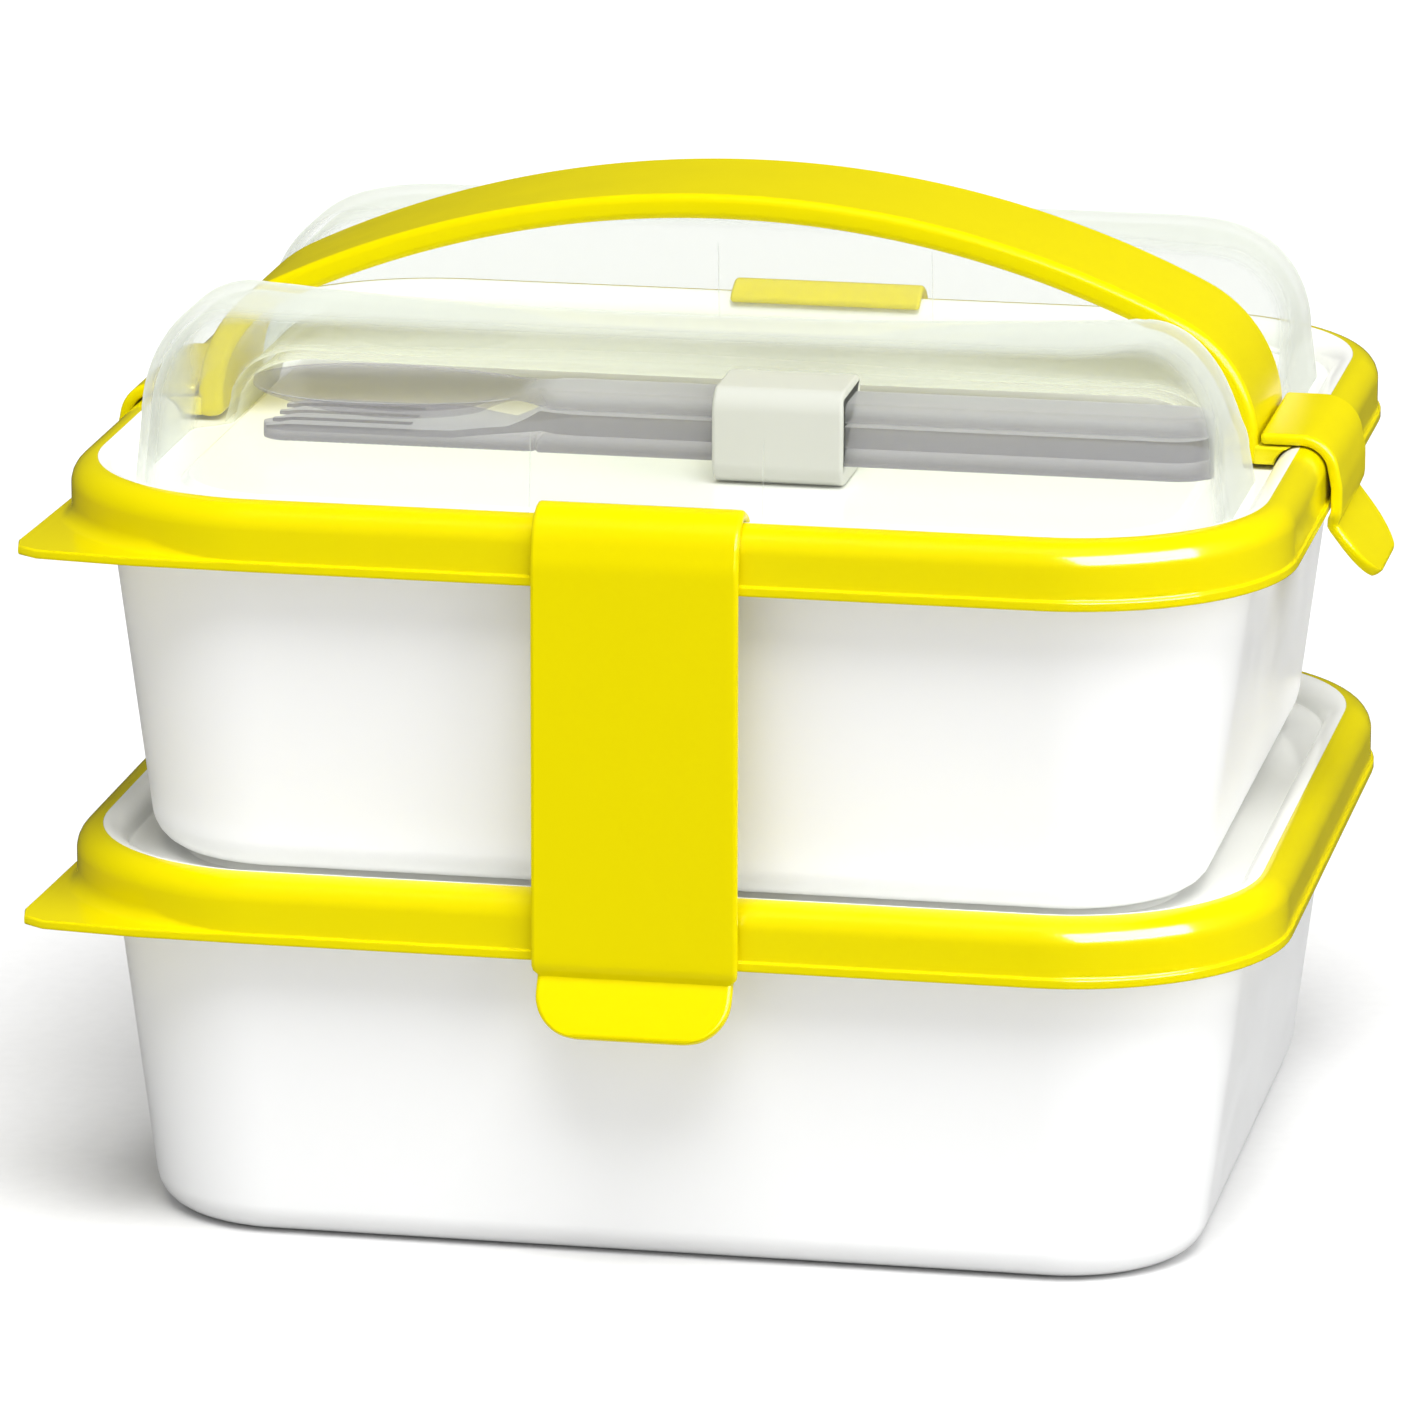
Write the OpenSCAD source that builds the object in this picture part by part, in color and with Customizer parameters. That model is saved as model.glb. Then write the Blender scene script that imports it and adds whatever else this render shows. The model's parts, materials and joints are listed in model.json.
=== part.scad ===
// Two-tier bento lunch box with snap lids, side clips, carrying handle,
// clear cutlery cover and a stacked cutlery set.
// The origin is the middle of the lower box's underside. X runs along the
// long side, -Y is the front and Z is up. All sizes are in millimetres.

/* [Case] */
// Width of the case over the lips of the lids
case_w = 220; // [218:1:240]
// Depth of the case over the lips of the lids
case_d = 192; // [176:1:210]
// Corner radius at the lips, seen from above
corner_r = 40; // [38:1:46]
// Height of one tier, from one box's underside to the next one's
tier_h = 67.4; // [60:0.2:76]

/* [Boxes] */
// Wall and floor thickness of both boxes
box_wall = 1.6; // [1.2:0.1:2]
// How far the box's foot stands inside the lip
foot_inset = 15; // [14:0.5:17]
// Radius of the edge round the box's floor
edge_r = 9; // [6:0.5:12]

/* [Lids] */
// Radius of the rounded bead along the top of each lid's rim
bead_r = 4.6; // [4.4:0.1:4.8]
// Height of the rim below the middle of its bead
skirt_h = 7.3; // [7:0.1:7.6]
// Thickness of the lid's walls
lid_wall = 1.6; // [1.4:0.1:1.6]
// Reach of the pull tab past the side of the case
ear_reach = 2.4; // [1.2:0.2:4]
// Radius of the pull tab's corner
ear_r = 6; // [5:0.5:10]

/* [Cover] */
// Height of the clear cover's ridges above the upper lid's trough
cover_h = 32.4; // [31:0.2:36]
// Depth of the valley that the handle lies in
valley_depth = 18; // [14:0.5:19]
// Thickness of the clear cover
cover_wall = 1.6; // [1.2:0.1:1.8]

/* [Handle] */
// Height of the handle's crown above the upper lid's trough
handle_h = 45.9; // [44.7:0.2:47.5]
// Width of the handle and of its two latches
handle_w = 34; // [30:1:35]
// Thickness of the handle's band
band_t = 4.6; // [3.6:0.1:4.8]

/* [Clips] */
// Width of the front and rear clips
clip_w = 36.6; // [28:0.2:44]
// Thickness of the clips and latches
strap_t = 2.2; // [1.8:0.1:2.2]

/* [Cutlery] */
// Length of the spoon, fork and knife
cutlery_l = 173; // [165:1:175]
// Width of their handles
grip_bar_w = 14; // [12:0.5:15]
// Thickness of their handles
grip_bar_t = 3.8; // [3.8:0.1:4]
// Length of the sleeve that holds the handles together
sleeve_l = 23.5; // [18:0.5:28]

/* [Hidden] */

// Centres of the case's corner arcs.
cx = case_w / 2 - corner_r;
cy = case_d / 2 - corner_r;

// Places along a section through the rim: s is measured outwards from the
// corner's centre and z up from the underside of the box.
lip_out = 5.2;
bead_s = corner_r - lip_out;
bead_z = tier_h - 1.6;
lip_z = bead_z - skirt_h;
bore_r = bead_r - lid_wall;
joint_angle = 92;
trough_top = 0.3;
plateau_top = 1.5;
plateau_s = corner_r - 21.3;

// The box wall leans outwards from its foot to the rim.
foot_s = corner_r - foot_inset;
wall_s = bead_s - 2.4;
lean = (wall_s - foot_s) / lip_z;
lean_angle = atan(lean);
flange_z = bead_z - 5.5;
flange_reach = 2.4;
rim_half = 0.8;
rim_top = bead_z + 0.4;

upper_z = tier_h;
bead2_z = upper_z + bead_z;
trough_z = bead2_z + trough_top;
plateau_z = bead2_z + plateau_top;

gap = 0.1;
clip_gap = 0.35;

// Straps run down at this distance outside the bead's middle.
strap_in = lip_out + clip_gap;
strap_out = strap_in + strap_t;
hook_r = bead_r + clip_gap;

// The handle's band is an arc with a shoulder at each end.
handle_top = trough_z + handle_h;
arch_r = 190;
leg_out = cx + bead_s - bead_r - 3;
shoulder_r = 25.2;
shoulder_x = leg_out - shoulder_r;
arch_half_angle = asin(shoulder_x / (arch_r - shoulder_r));
shoulder_z = handle_top - arch_r + (arch_r - shoulder_r) * cos(arch_half_angle);
leg_bottom = trough_z + 0.7;
knuckle_r = strap_t / 2;
pivot_x = leg_out + knuckle_r + 0.2;

// The cutlery lies along X under the front ridge, knife lowest.
cutlery_y = -43;
cutlery_x = 93;
head_l = 52;
neck_x = cutlery_x - cutlery_l + head_l;
sleeve_x = 4.8;
sleeve_wall = 2;
sleeve_floor = 3.2;
knife_z = plateau_z + sleeve_floor + 2 * gap;
fork_z = knife_z + grip_bar_t + gap;
spoon_z = fork_z + grip_bar_t + gap;
blade_t = grip_bar_t - 0.9;
fork_head_z = knife_z + blade_t + 0.2;
fork_head_t = 1.3;

yellow = [0.94, 0.88, 0.02];
white = [0.96, 0.96, 0.95];
clear = [0.86, 0.92, 0.94, 0.45];
smoke = [0.72, 0.71, 0.75];
silicone = [0.86, 0.88, 0.86];

function arc(x, y, r, a0, a1, n) =
    [for (i = [0:n]) let (a = a0 + (a1 - a0) * i / n) [x + r * cos(a), y + r * sin(a)]];

function smooth(t) = let (c = min(max(t, 0), 1)) c * c * (3 - 2 * c);

// Sweeps a flat section round the rounded rectangle of the case. The
// section's x is the distance out from the corner's centre.
module ring_sweep() {
    for (side = [0, 1], turn = [0, 180])
        rotate([0, 0, turn + 90 * side])
            translate(side == 0 ? [-cx, cy, 0] : [-cy, cx, 0])
                rotate([90, 0, 90])
                    linear_extrude(side == 0 ? 2 * cx : 2 * cy)
                        children();
    for (i = [0:3])
        translate([(i == 0 || i == 3 ? 1 : -1) * cx, (i < 2 ? 1 : -1) * cy, 0])
            rotate([0, 0, 90 * i])
                rotate_extrude(angle = 90, $fn = 96)
                    children();
}

// Fills the middle of the case between the corner centres.
module middle_slab(z, thickness) {
    translate([-cx, -cy, z])
        cube([2 * cx, 2 * cy, thickness]);
}

// A tapered food box with a rolled floor edge, a stiffening flange and an
// upright rim that presses on the lid's seal.
module food_box() {
    arc_s = foot_s + lean * edge_r - edge_r / cos(lean_angle);
    flange_top = flange_z + box_wall;
    inner_s = foot_s - box_wall / cos(lean_angle);
    ring_sweep()
        polygon(concat(
            [[0, 0]],
            arc(arc_s, edge_r, edge_r, -90, -lean_angle, 8),
            [[foot_s + lean * flange_z, flange_z],
             [bead_s + flange_reach, flange_z],
             [bead_s + flange_reach, flange_top],
             [bead_s + rim_half, flange_top],
             [bead_s + rim_half, rim_top],
             [bead_s - rim_half, rim_top],
             [bead_s - rim_half, flange_top],
             [inner_s + lean * flange_top, flange_top]],
            arc(arc_s, edge_r, edge_r - box_wall, -lean_angle, -90, 8),
            [[0, box_wall]]));
    middle_slab(0, box_wall);
}

// The coloured outer half of a lid's rim, with its lip.
module rim_frame() {
    ring_sweep()
        polygon(concat(
            arc(bead_s, bead_z, bead_r, joint_angle, 0, 12),
            [[bead_s + bead_r, lip_z + 2.4],
             [corner_r, lip_z + 1.8],
             [corner_r, lip_z + 0.4],
             [corner_r - 0.4, lip_z],
             [bead_s + bore_r + 0.4, lip_z],
             [bead_s + bore_r, lip_z + 0.7]],
            arc(bead_s, bead_z, bore_r, 0, joint_angle, 8)));
}

// The flat pull tab on the front left corner: the case's side and front run
// on past the round corner of the lip, which the tab is rooted in.
module pull_ear() {
    root_r = corner_r - 1.2;
    set_back = 2.2;
    tip_x = -case_w / 2 - ear_reach + ear_r;
    tip_y = -case_d / 2 + set_back + ear_r;
    translate([0, 0, lip_z + 0.2])
        linear_extrude(1.4)
            polygon(concat(
                [[-case_w / 2 + 1.2, -cy + 9],
                 [-case_w / 2 - ear_reach / 2, -cy]],
                arc(tip_x, tip_y, ear_r, 182, 264, 12),
                [[-cx - 20, -case_d / 2 + 0.4],
                 [-cx + 2, -case_d / 2 + 1.2]],
                arc(-cx, -cy, root_r, 270, 180, 24)));
}

module lid_frame() {
    rim_frame();
    pull_ear();
}

// The white middle of a lid: the inner half of the bead, a trough inside it
// and the plateau that the next tier stands on.
module lid_panel() {
    trough_angle = 180 - asin(trough_top / bead_r);
    top = bead_z + plateau_top;
    trough = bead_z + trough_top;
    ring_sweep()
        polygon(concat(
            arc(bead_s, bead_z, bead_r, joint_angle + 0.4, trough_angle, 12),
            [[plateau_s + 1, trough],
             [plateau_s, top],
             [0, top],
             [0, top - lid_wall],
             [plateau_s, top - lid_wall],
             [plateau_s + 1, trough - lid_wall],
             [bead_s - bead_r, trough - lid_wall],
             [bead_s - bead_r, bead_z - 3],
             [bead_s - bore_r, bead_z - 3]],
            arc(bead_s, bead_z, bore_r, 180, joint_angle + 0.4, 8)));
    middle_slab(top - lid_wall, lid_wall);
}

// Silicone ring in the roof of the rim's channel.
module lid_seal() {
    ring_sweep()
        translate([bead_s - 1.5, rim_top + 0.2])
            square([3, 1.7]);
}

module lower_box() { color(white) food_box(); }
module lower_lid_frame() { color(yellow) lid_frame(); }
module lower_lid_panel() { color(white) lid_panel(); }
module lower_lid_seal() { color(silicone) lid_seal(); }
module upper_box() { color(white) translate([0, 0, upper_z]) food_box(); }
module upper_lid_frame() { color(yellow) translate([0, 0, upper_z]) lid_frame(); }
module upper_lid_panel() { color(white) translate([0, 0, upper_z]) lid_panel(); }
module upper_lid_seal() { color(silicone) translate([0, 0, upper_z]) lid_seal(); }

// Clear cover. Its skin is a grid of points: rings of the case's outline
// that climb the wall, then shrink towards the middle over the top.
cover_z = trough_z + gap;
cover_s = bead_s - 6.8;
cover_draft = 1.2;
cover_round = 16;
wall_part = 0.5;
end_wall_part = 0.33;
rear_drop = 5;
wall_rings = 2;
round_rings = 6;
top_rings = 9;
notch_half = 18;
notch_depth = 6.2;
notch_blend = 6;
valley_half = 18;
scoop = 14;

corner_steps = 6;
long_steps = 10;
short_steps = 20;

// The outline as [corner centre or side point, outward direction] pairs.
outline = [for (q = [0:3])
    let (sx = q == 0 || q == 3 ? 1 : -1, sy = q < 2 ? 1 : -1)
    each concat(
        [for (i = [0:corner_steps])
            let (a = 90 * q + 90 * i / corner_steps)
            [sx * cx, sy * cy, cos(a), sin(a)]],
        q % 2 == 0
            ? [for (i = [1:long_steps - 1])
                [sx * cx * (1 - 2 * i / long_steps), sy * cy, 0, sy]]
            : [for (i = [1:short_steps - 1])
                [sx * cx, sy * cy * (1 - 2 * i / short_steps), sx, 0]])];

// The end walls step in beside the handle's legs.
function notch(p) = abs(p[2]) < 0.999 ? 0
    : notch_depth * (1 - smooth((abs(p[1]) - notch_half) / notch_blend));

function ridge_edge(x) = case_d / 2 - 39 - scoop * pow(min(abs(x) / 80, 1), 2);

// Height of the cover's top above its foot. The rear ridge is the lower one.
function cover_top(x, y) =
    cover_h - valley_depth
    + (valley_depth - (y > 0 ? rear_drop : 0))
        * smooth((abs(y) - valley_half) / (ridge_edge(x) - valley_half));

// One ring of the cover as [distance out, share of the wall, share of the
// rounding above it, shrink].
cover_rings = concat(
    [for (i = [0:wall_rings])
        [cover_s - cover_draft * i / wall_rings, i / wall_rings, 0, 1]],
    [for (i = [1:round_rings])
        let (a = 90 * i / round_rings)
        [cover_s - cover_draft - cover_round * (1 - cos(a)), 1, sin(a), 1]],
    [for (i = [1:top_rings - 1])
        [cover_s - cover_draft - cover_round, 1, 1, 1 - i / top_rings]]);

// The rounding starts lower on the cover's ends than on its long walls.
function cover_point(p, ring, inset) =
    let (s = ring[0] - inset - notch(p) * ring[3],
         x = (p[0] + p[2] * s) * ring[3],
         y = (p[1] + p[3] * s) * ring[3],
         wall = wall_part + (end_wall_part - wall_part) * abs(p[2]),
         share = wall * ring[1] + (1 - wall) * ring[2])
    [x, y, cover_z + share * (cover_top(x, y) - inset)];

module cover_skin() {
    n = len(outline);
    m = len(cover_rings);
    outer = [for (ring = cover_rings) for (p = outline) cover_point(p, ring, 0)];
    inner = [for (ring = cover_rings) for (p = outline) cover_point(p, ring, cover_wall)];
    middle = cover_z + cover_h - valley_depth;
    inner_start = n * m;
    outer_tip = 2 * n * m;
    polyhedron(
        points = concat(outer, inner, [[0, 0, middle], [0, 0, middle - cover_wall]]),
        faces = concat(
            [for (k = [0:m - 2], j = [0:n - 1])
                let (a = k * n + j, b = k * n + (j + 1) % n)
                each [[a, a + n, b], [b, a + n, b + n]]],
            [for (k = [0:m - 2], j = [0:n - 1])
                let (a = inner_start + k * n + j, b = inner_start + k * n + (j + 1) % n)
                each [[a, b, a + n], [b, b + n, a + n]]],
            [for (j = [0:n - 1])
                let (a = j, b = (j + 1) % n)
                each [[a, b, inner_start + a], [b, inner_start + b, inner_start + a]]],
            [for (j = [0:n - 1])
                let (a = (m - 1) * n + j, b = (m - 1) * n + (j + 1) % n)
                each [[a, outer_tip, b], [inner_start + a, inner_start + b, outer_tip + 1]]]));
}

module dome_cover() {
    color(clear)
        cover_skin();
}

// The handle's band, shoulders and legs as one bent strip. A foot at the end
// of each leg fills the trough between the leg and the bead.
module handle() {
    start = 90 - arch_half_angle;
    in_r = shoulder_r - band_t;
    drop = leg_bottom - shoulder_z;
    foot_top = bead2_z + hook_r - 0.25;
    foot_high = asin((foot_top - bead2_z) / hook_r);
    foot_low = asin((leg_bottom - bead2_z) / hook_r);
    half = concat(
        arc(0, handle_top - arch_r, arch_r, 90, start, 14),
        arc(shoulder_x, shoulder_z, shoulder_r, start, asin((foot_top - shoulder_z) / shoulder_r), 8),
        arc(cx + bead_s, bead2_z, hook_r, 180 - foot_high, 180 - foot_low, 6),
        arc(shoulder_x, shoulder_z, in_r, asin(drop / in_r), start, 8),
        arc(0, handle_top - arch_r, arch_r - band_t, start, 90, 14));
    mirrored = [for (i = [len(half) - 2:-1:1]) [-half[i][0], half[i][1]]];
    color(yellow)
        rotate([90, 0, 0])
            linear_extrude(handle_w, center = true)
                polygon(concat(half, mirrored));
}

// A plate seen from the front: straight sides and a rounded lower end.
module tab_plate(width, low, high, r) {
    translate([-width / 2, low + r])
        square([width, high - low - r]);
    translate([-width / 2 + r, low])
        square([width - 2 * r, r]);
    for (side = [-1, 1])
        translate([side * (width / 2 - r), low + r])
            circle(r, $fn = 64);
}

// Section of a stacking clip. It starts low on the inner side of the bead,
// goes over it and down past both lips, bends in under the lower lip and ends
// in a flared finger tab. The middle of the upper lid's bead is the origin.
module clip_section() {
    catch = -tier_h - skirt_h;
    hook_end = 144;
    hook_tip_t = 1.4;
    difference() {
        polygon(concat(
            [[0, 0],
             [strap_in, 0],
             [strap_in, catch - 0.3],
             [lip_out - 1.2, catch - 2.1],
             [lip_out + 0.4, catch - 4.3],
             [lip_out + 5, catch - 12.5],
             [lip_out + 6.9, catch - 11.5],
             [lip_out + 2.4, catch - 3.5],
             [lip_out + 1.3, catch - 2.1],
             [strap_out, catch + 0.1],
             [strap_out, -2.5]],
            arc(0, 0, hook_r + strap_t, 5, 85, 12),
            arc(0, 0, hook_r + hook_tip_t, 105, hook_end, 6)));
        circle(hook_r, $fn = 96);
    }
}

module stacking_clip() {
    color(yellow)
        translate([0, -case_d / 2 + lip_out, bead2_z])
            intersection() {
                rotate([90, 0, -90])
                    linear_extrude(clip_w, center = true)
                        clip_section();
                rotate([90, 0, 0])
                    linear_extrude(60, center = true)
                        tab_plate(clip_w, -tier_h - skirt_h - 12.5, 20, 8);
            }
}

module front_clip() { stacking_clip(); }
module rear_clip() { rotate([0, 0, 180]) stacking_clip(); }

// Section of the handle's latch, with the middle of the bead as its origin.
// Its rounded inner end turns beside the handle's leg.
module latch_section() {
    knuckle = pivot_x - cx - bead_s;
    translate([knuckle, hook_r + knuckle_r])
        circle(knuckle_r, $fn = 48);
    polygon(concat(
        [[knuckle, hook_r]],
        arc(0, 0, hook_r, 90, 10, 12),
        [[strap_in, -2.5],
         [strap_in, -skirt_h + 0.1],
         [lip_out - 0.8, -skirt_h - 2.2],
         [lip_out + 0.9, -skirt_h - 4.4],
         [lip_out + 7.6, -skirt_h - 13.2],
         [lip_out + 9.2, -skirt_h - 11.9],
         [lip_out + 2.9, -skirt_h - 3.6],
         [lip_out + 1.7, -skirt_h - 2.1],
         [strap_out, -skirt_h + 0.4],
         [strap_out, -2.5]],
        arc(0, 0, hook_r + strap_t, 5, 90, 12),
        [[knuckle, hook_r + strap_t]]));
}

module latch() {
    color(yellow)
        translate([cx + bead_s, 0, bead2_z])
            intersection() {
                rotate([90, 0, 0])
                    linear_extrude(handle_w, center = true)
                        latch_section();
                rotate([90, 0, 90])
                    linear_extrude(60, center = true)
                        tab_plate(handle_w, -skirt_h - 13.2, 20, 9);
            }
}

module handle_latch_right() { latch(); }
module handle_latch_left() { mirror([1, 0, 0]) latch(); }

// A straight, thin grip bar with a rounded end, shared by the cutlery.
module grip_bar(z) {
    r = grip_bar_w / 2;
    translate([neck_x + 2, cutlery_y - r, z])
        cube([cutlery_x - r - neck_x - 2, grip_bar_w, grip_bar_t]);
    translate([cutlery_x - r, cutlery_y, z])
        cylinder(h = grip_bar_t, r = r, $fn = 64);
}

// The spoon's bowl: an egg-shaped shell with its hollow up.
module spoon_bowl() {
    rings = 7;
    around = 28;
    bowl_w = 31;
    depth = 5;
    skin = 1.3;
    rim_z = spoon_z + grip_bar_t - 0.8;
    middle_x = neck_x - head_l / 2 + 0.75;
    half_l = head_l / 2 + 0.75;
    outer = [for (k = [1:rings]) for (j = [0:around - 1])
        let (t = k / rings, a = 360 * j / around)
        bowl_point(middle_x, half_l, bowl_w / 2, t, a, rim_z - depth * (1 - t * t) - skin)];
    inner = [for (k = [1:rings]) for (j = [0:around - 1])
        let (t = k / rings, a = 360 * j / around)
        bowl_point(middle_x, half_l, bowl_w / 2, t, a, rim_z - depth * (1 - t * t))];
    n = rings * around;
    polyhedron(
        points = concat(outer, inner,
            [[middle_x, cutlery_y, rim_z - depth - skin], [middle_x, cutlery_y, rim_z - depth]]),
        faces = concat(
            [for (k = [0:rings - 2], j = [0:around - 1])
                let (a = k * around + j, b = k * around + (j + 1) % around)
                each [[a, a + around, b], [b, a + around, b + around],
                      [n + a, n + b, n + a + around], [n + b, n + b + around, n + a + around]]],
            [for (j = [0:around - 1])
                let (a = (rings - 1) * around + j, b = (rings - 1) * around + (j + 1) % around)
                each [[a, n + a, b], [b, n + a, n + b]]],
            [for (j = [0:around - 1])
                let (b = (j + 1) % around)
                each [[j, b, 2 * n], [n + j, 2 * n + 1, n + b]]]));
}

function bowl_point(x, half_l, half_w, t, a, z) =
    [x + half_l * t * cos(a),
     cutlery_y + half_w * t * sin(a) * (1 - 0.16 * cos(a)), z];

module spoon() {
    color(smoke) {
        grip_bar(spoon_z);
        spoon_bowl();
        translate([neck_x - 3, cutlery_y - 4, spoon_z + 0.7])
            cube([8, 8, grip_bar_t - 1.7]);
    }
}

module fork() {
    tines = 4;
    tine_w = 3.2;
    pitch = 5.6;
    root_x = neck_x - 22;
    tip_x = neck_x - head_l + 4;
    color(smoke) {
        grip_bar(fork_z);
        translate([neck_x - 4.5, cutlery_y - 4, fork_head_z + 0.2])
            cube([6, 8, fork_z + 1.6 - fork_head_z]);
        translate([neck_x - 2, cutlery_y - 4.4, fork_z + 0.3])
            cube([8, 8.8, 2.2]);
        translate([0, 0, fork_head_z])
            linear_extrude(fork_head_t)
                polygon([[neck_x - 4, cutlery_y - 4.5], [neck_x - 4, cutlery_y + 4.5],
                    [root_x + 8, cutlery_y + pitch * 1.5 + tine_w / 2],
                    [root_x - 1, cutlery_y + pitch * 1.5 + tine_w / 2],
                    [root_x - 1, cutlery_y - pitch * 1.5 - tine_w / 2],
                    [root_x + 8, cutlery_y - pitch * 1.5 - tine_w / 2]]);
        for (i = [0:tines - 1])
            translate([tip_x, cutlery_y + (i - 1.5) * pitch - tine_w / 2, fork_head_z])
                cube([root_x - tip_x, tine_w, fork_head_t]);
    }
}

module knife() {
    tip_r = 5;
    tip_x = neck_x - head_l + tip_r + 2;
    edge_y = cutlery_y - grip_bar_w / 2 + 0.5;
    color(smoke) {
        grip_bar(knife_z);
        translate([0, 0, knife_z])
            linear_extrude(blade_t)
                polygon([[neck_x + 3, edge_y], [neck_x + 3, cutlery_y + 6],
                    [tip_x, edge_y + 2 * tip_r], [tip_x, edge_y]]);
        translate([tip_x, edge_y + tip_r, knife_z])
            cylinder(h = blade_t, r = tip_r, $fn = 64);
    }
}

// White sleeve with a slot along its back, slid over the three grip bars.
module cutlery_sleeve() {
    in_w = grip_bar_w + 0.6;
    in_h = 3 * grip_bar_t + 4 * gap + 0.3;
    out_r = 4;
    in_r = 0.5;
    out_h = in_h + sleeve_floor + sleeve_wall;
    low = plateau_z + gap;
    color([0.9, 0.9, 0.87])
        translate([sleeve_x, cutlery_y, low + sleeve_floor + in_h / 2])
            rotate([90, 0, 90])
                linear_extrude(sleeve_l)
                    difference() {
                        translate([0, (sleeve_wall - sleeve_floor) / 2])
                            rounded_box(in_w + 2 * sleeve_wall, out_h, out_r);
                        rounded_box(in_w, in_h, in_r);
                        translate([in_w / 2 - 0.5, -in_h / 2 + 3])
                            square([sleeve_wall + 1, in_h - 6]);
                    }
}

module rounded_box(w, h, r) {
    square([w - 2 * r, h], center = true);
    square([w, h - 2 * r], center = true);
    for (i = [-1, 1], j = [-1, 1])
        translate([i * (w / 2 - r), j * (h / 2 - r)])
            circle(r, $fn = 48);
}

lower_box();
lower_lid_frame();
lower_lid_panel();
lower_lid_seal();
upper_box();
upper_lid_frame();
upper_lid_panel();
upper_lid_seal();
dome_cover();
handle();
handle_latch_left();
handle_latch_right();
front_clip();
rear_clip();
spoon();
fork();
knife();
cutlery_sleeve();
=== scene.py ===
"""Looks of the two-tier bento lunch box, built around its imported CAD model.

Shape functions work in millimetres in the CAD model's frame: X along the long side, -Y to the front,
Z up from the floor. A mesh is scaled to metres when it is made.
"""
import json
import math

import bmesh
import bpy
from mathutils import Euler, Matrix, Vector

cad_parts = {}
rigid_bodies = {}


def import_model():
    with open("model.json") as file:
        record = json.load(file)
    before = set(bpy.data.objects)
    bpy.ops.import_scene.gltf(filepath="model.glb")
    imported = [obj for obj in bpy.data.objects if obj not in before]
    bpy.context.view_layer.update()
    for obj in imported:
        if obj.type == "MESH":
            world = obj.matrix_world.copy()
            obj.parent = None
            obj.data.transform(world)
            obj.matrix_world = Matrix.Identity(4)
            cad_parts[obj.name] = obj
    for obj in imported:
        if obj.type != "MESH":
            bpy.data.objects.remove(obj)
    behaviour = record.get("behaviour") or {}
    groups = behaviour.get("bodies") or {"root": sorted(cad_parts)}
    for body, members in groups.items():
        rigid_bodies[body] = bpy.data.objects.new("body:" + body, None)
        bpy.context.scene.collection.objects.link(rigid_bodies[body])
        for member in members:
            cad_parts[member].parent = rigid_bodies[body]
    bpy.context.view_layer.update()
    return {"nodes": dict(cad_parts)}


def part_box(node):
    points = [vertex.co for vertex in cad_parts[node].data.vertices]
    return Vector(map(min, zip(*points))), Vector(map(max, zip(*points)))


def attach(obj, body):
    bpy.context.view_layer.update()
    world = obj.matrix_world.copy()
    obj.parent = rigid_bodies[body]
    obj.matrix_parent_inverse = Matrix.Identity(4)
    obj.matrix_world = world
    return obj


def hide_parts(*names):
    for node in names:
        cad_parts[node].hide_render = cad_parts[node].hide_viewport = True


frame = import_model()

MM = 0.001


def box_mm(node):
    """Lowest and highest corner of a CAD node, in millimetres."""
    low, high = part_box(node)
    return low / MM, high / MM


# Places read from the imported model.
LID_LOW, LID_HIGH = box_mm("lower_lid_frame")
BOX_HIGH_Z = box_mm("lower_box")[1].z
TIER = box_mm("upper_box")[0].z
COVER_LOW, COVER_HIGH = box_mm("dome_cover")
HANDLE_LOW, HANDLE_HIGH = box_mm("handle")
SPOON_LOW, SPOON_HIGH = box_mm("spoon")
FORK_LOW, FORK_HIGH = box_mm("fork")
KNIFE_LOW, KNIFE_HIGH = box_mm("knife")
SLEEVE_LOW, SLEEVE_HIGH = box_mm("cutlery_sleeve")
CLIP_LOW, CLIP_HIGH = box_mm("front_clip")
LATCH_LOW, LATCH_HIGH = box_mm("handle_latch_right")

# The case seen from above: a rounded rectangle through the lips of the lids.
CORNER_R = 40
CX = LID_HIGH.x - CORNER_R
CY = LID_HIGH.y - CORNER_R

# Section through a rim. s runs outwards from a corner's centre.
BEAD_R = 4.6
BORE_R = 3.0
LIP_OUT = 5.2
BEAD_S = CORNER_R - LIP_OUT
BEAD_Z = LID_HIGH.z - BEAD_R
SKIRT = BEAD_Z - LID_LOW.z
JOINT_ANGLE = 92
TROUGH_UP = 0.3
PLATEAU_UP = 1.5
PLATEAU_S = 18.7
TOP_BEAD_Z = BEAD_Z + TIER

# The pull ear's side starts this far behind the corner's centre.
EAR_START = 9

# Grip bars of the cutlery, and the neck between them and the heads.
BAR_T = KNIFE_HIGH.z - KNIFE_LOW.z
CUTLERY_Y = (SPOON_LOW.y + SPOON_HIGH.y) / 2
HEAD_L = 52
NECK_X = SPOON_LOW.x + HEAD_L


# ---------------------------------------------------------------- curves

def smooth(t):
    """Smooth step from 0 to 1."""
    c = min(max(t, 0.0), 1.0)
    return c * c * (3 - 2 * c)


def arc(x, y, r, start, end, steps):
    """Points on an arc, angles in degrees."""
    angles = [math.radians(start + (end - start) * i / steps) for i in range(steps + 1)]
    return [(x + r * math.cos(a), y + r * math.sin(a)) for a in angles]


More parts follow.
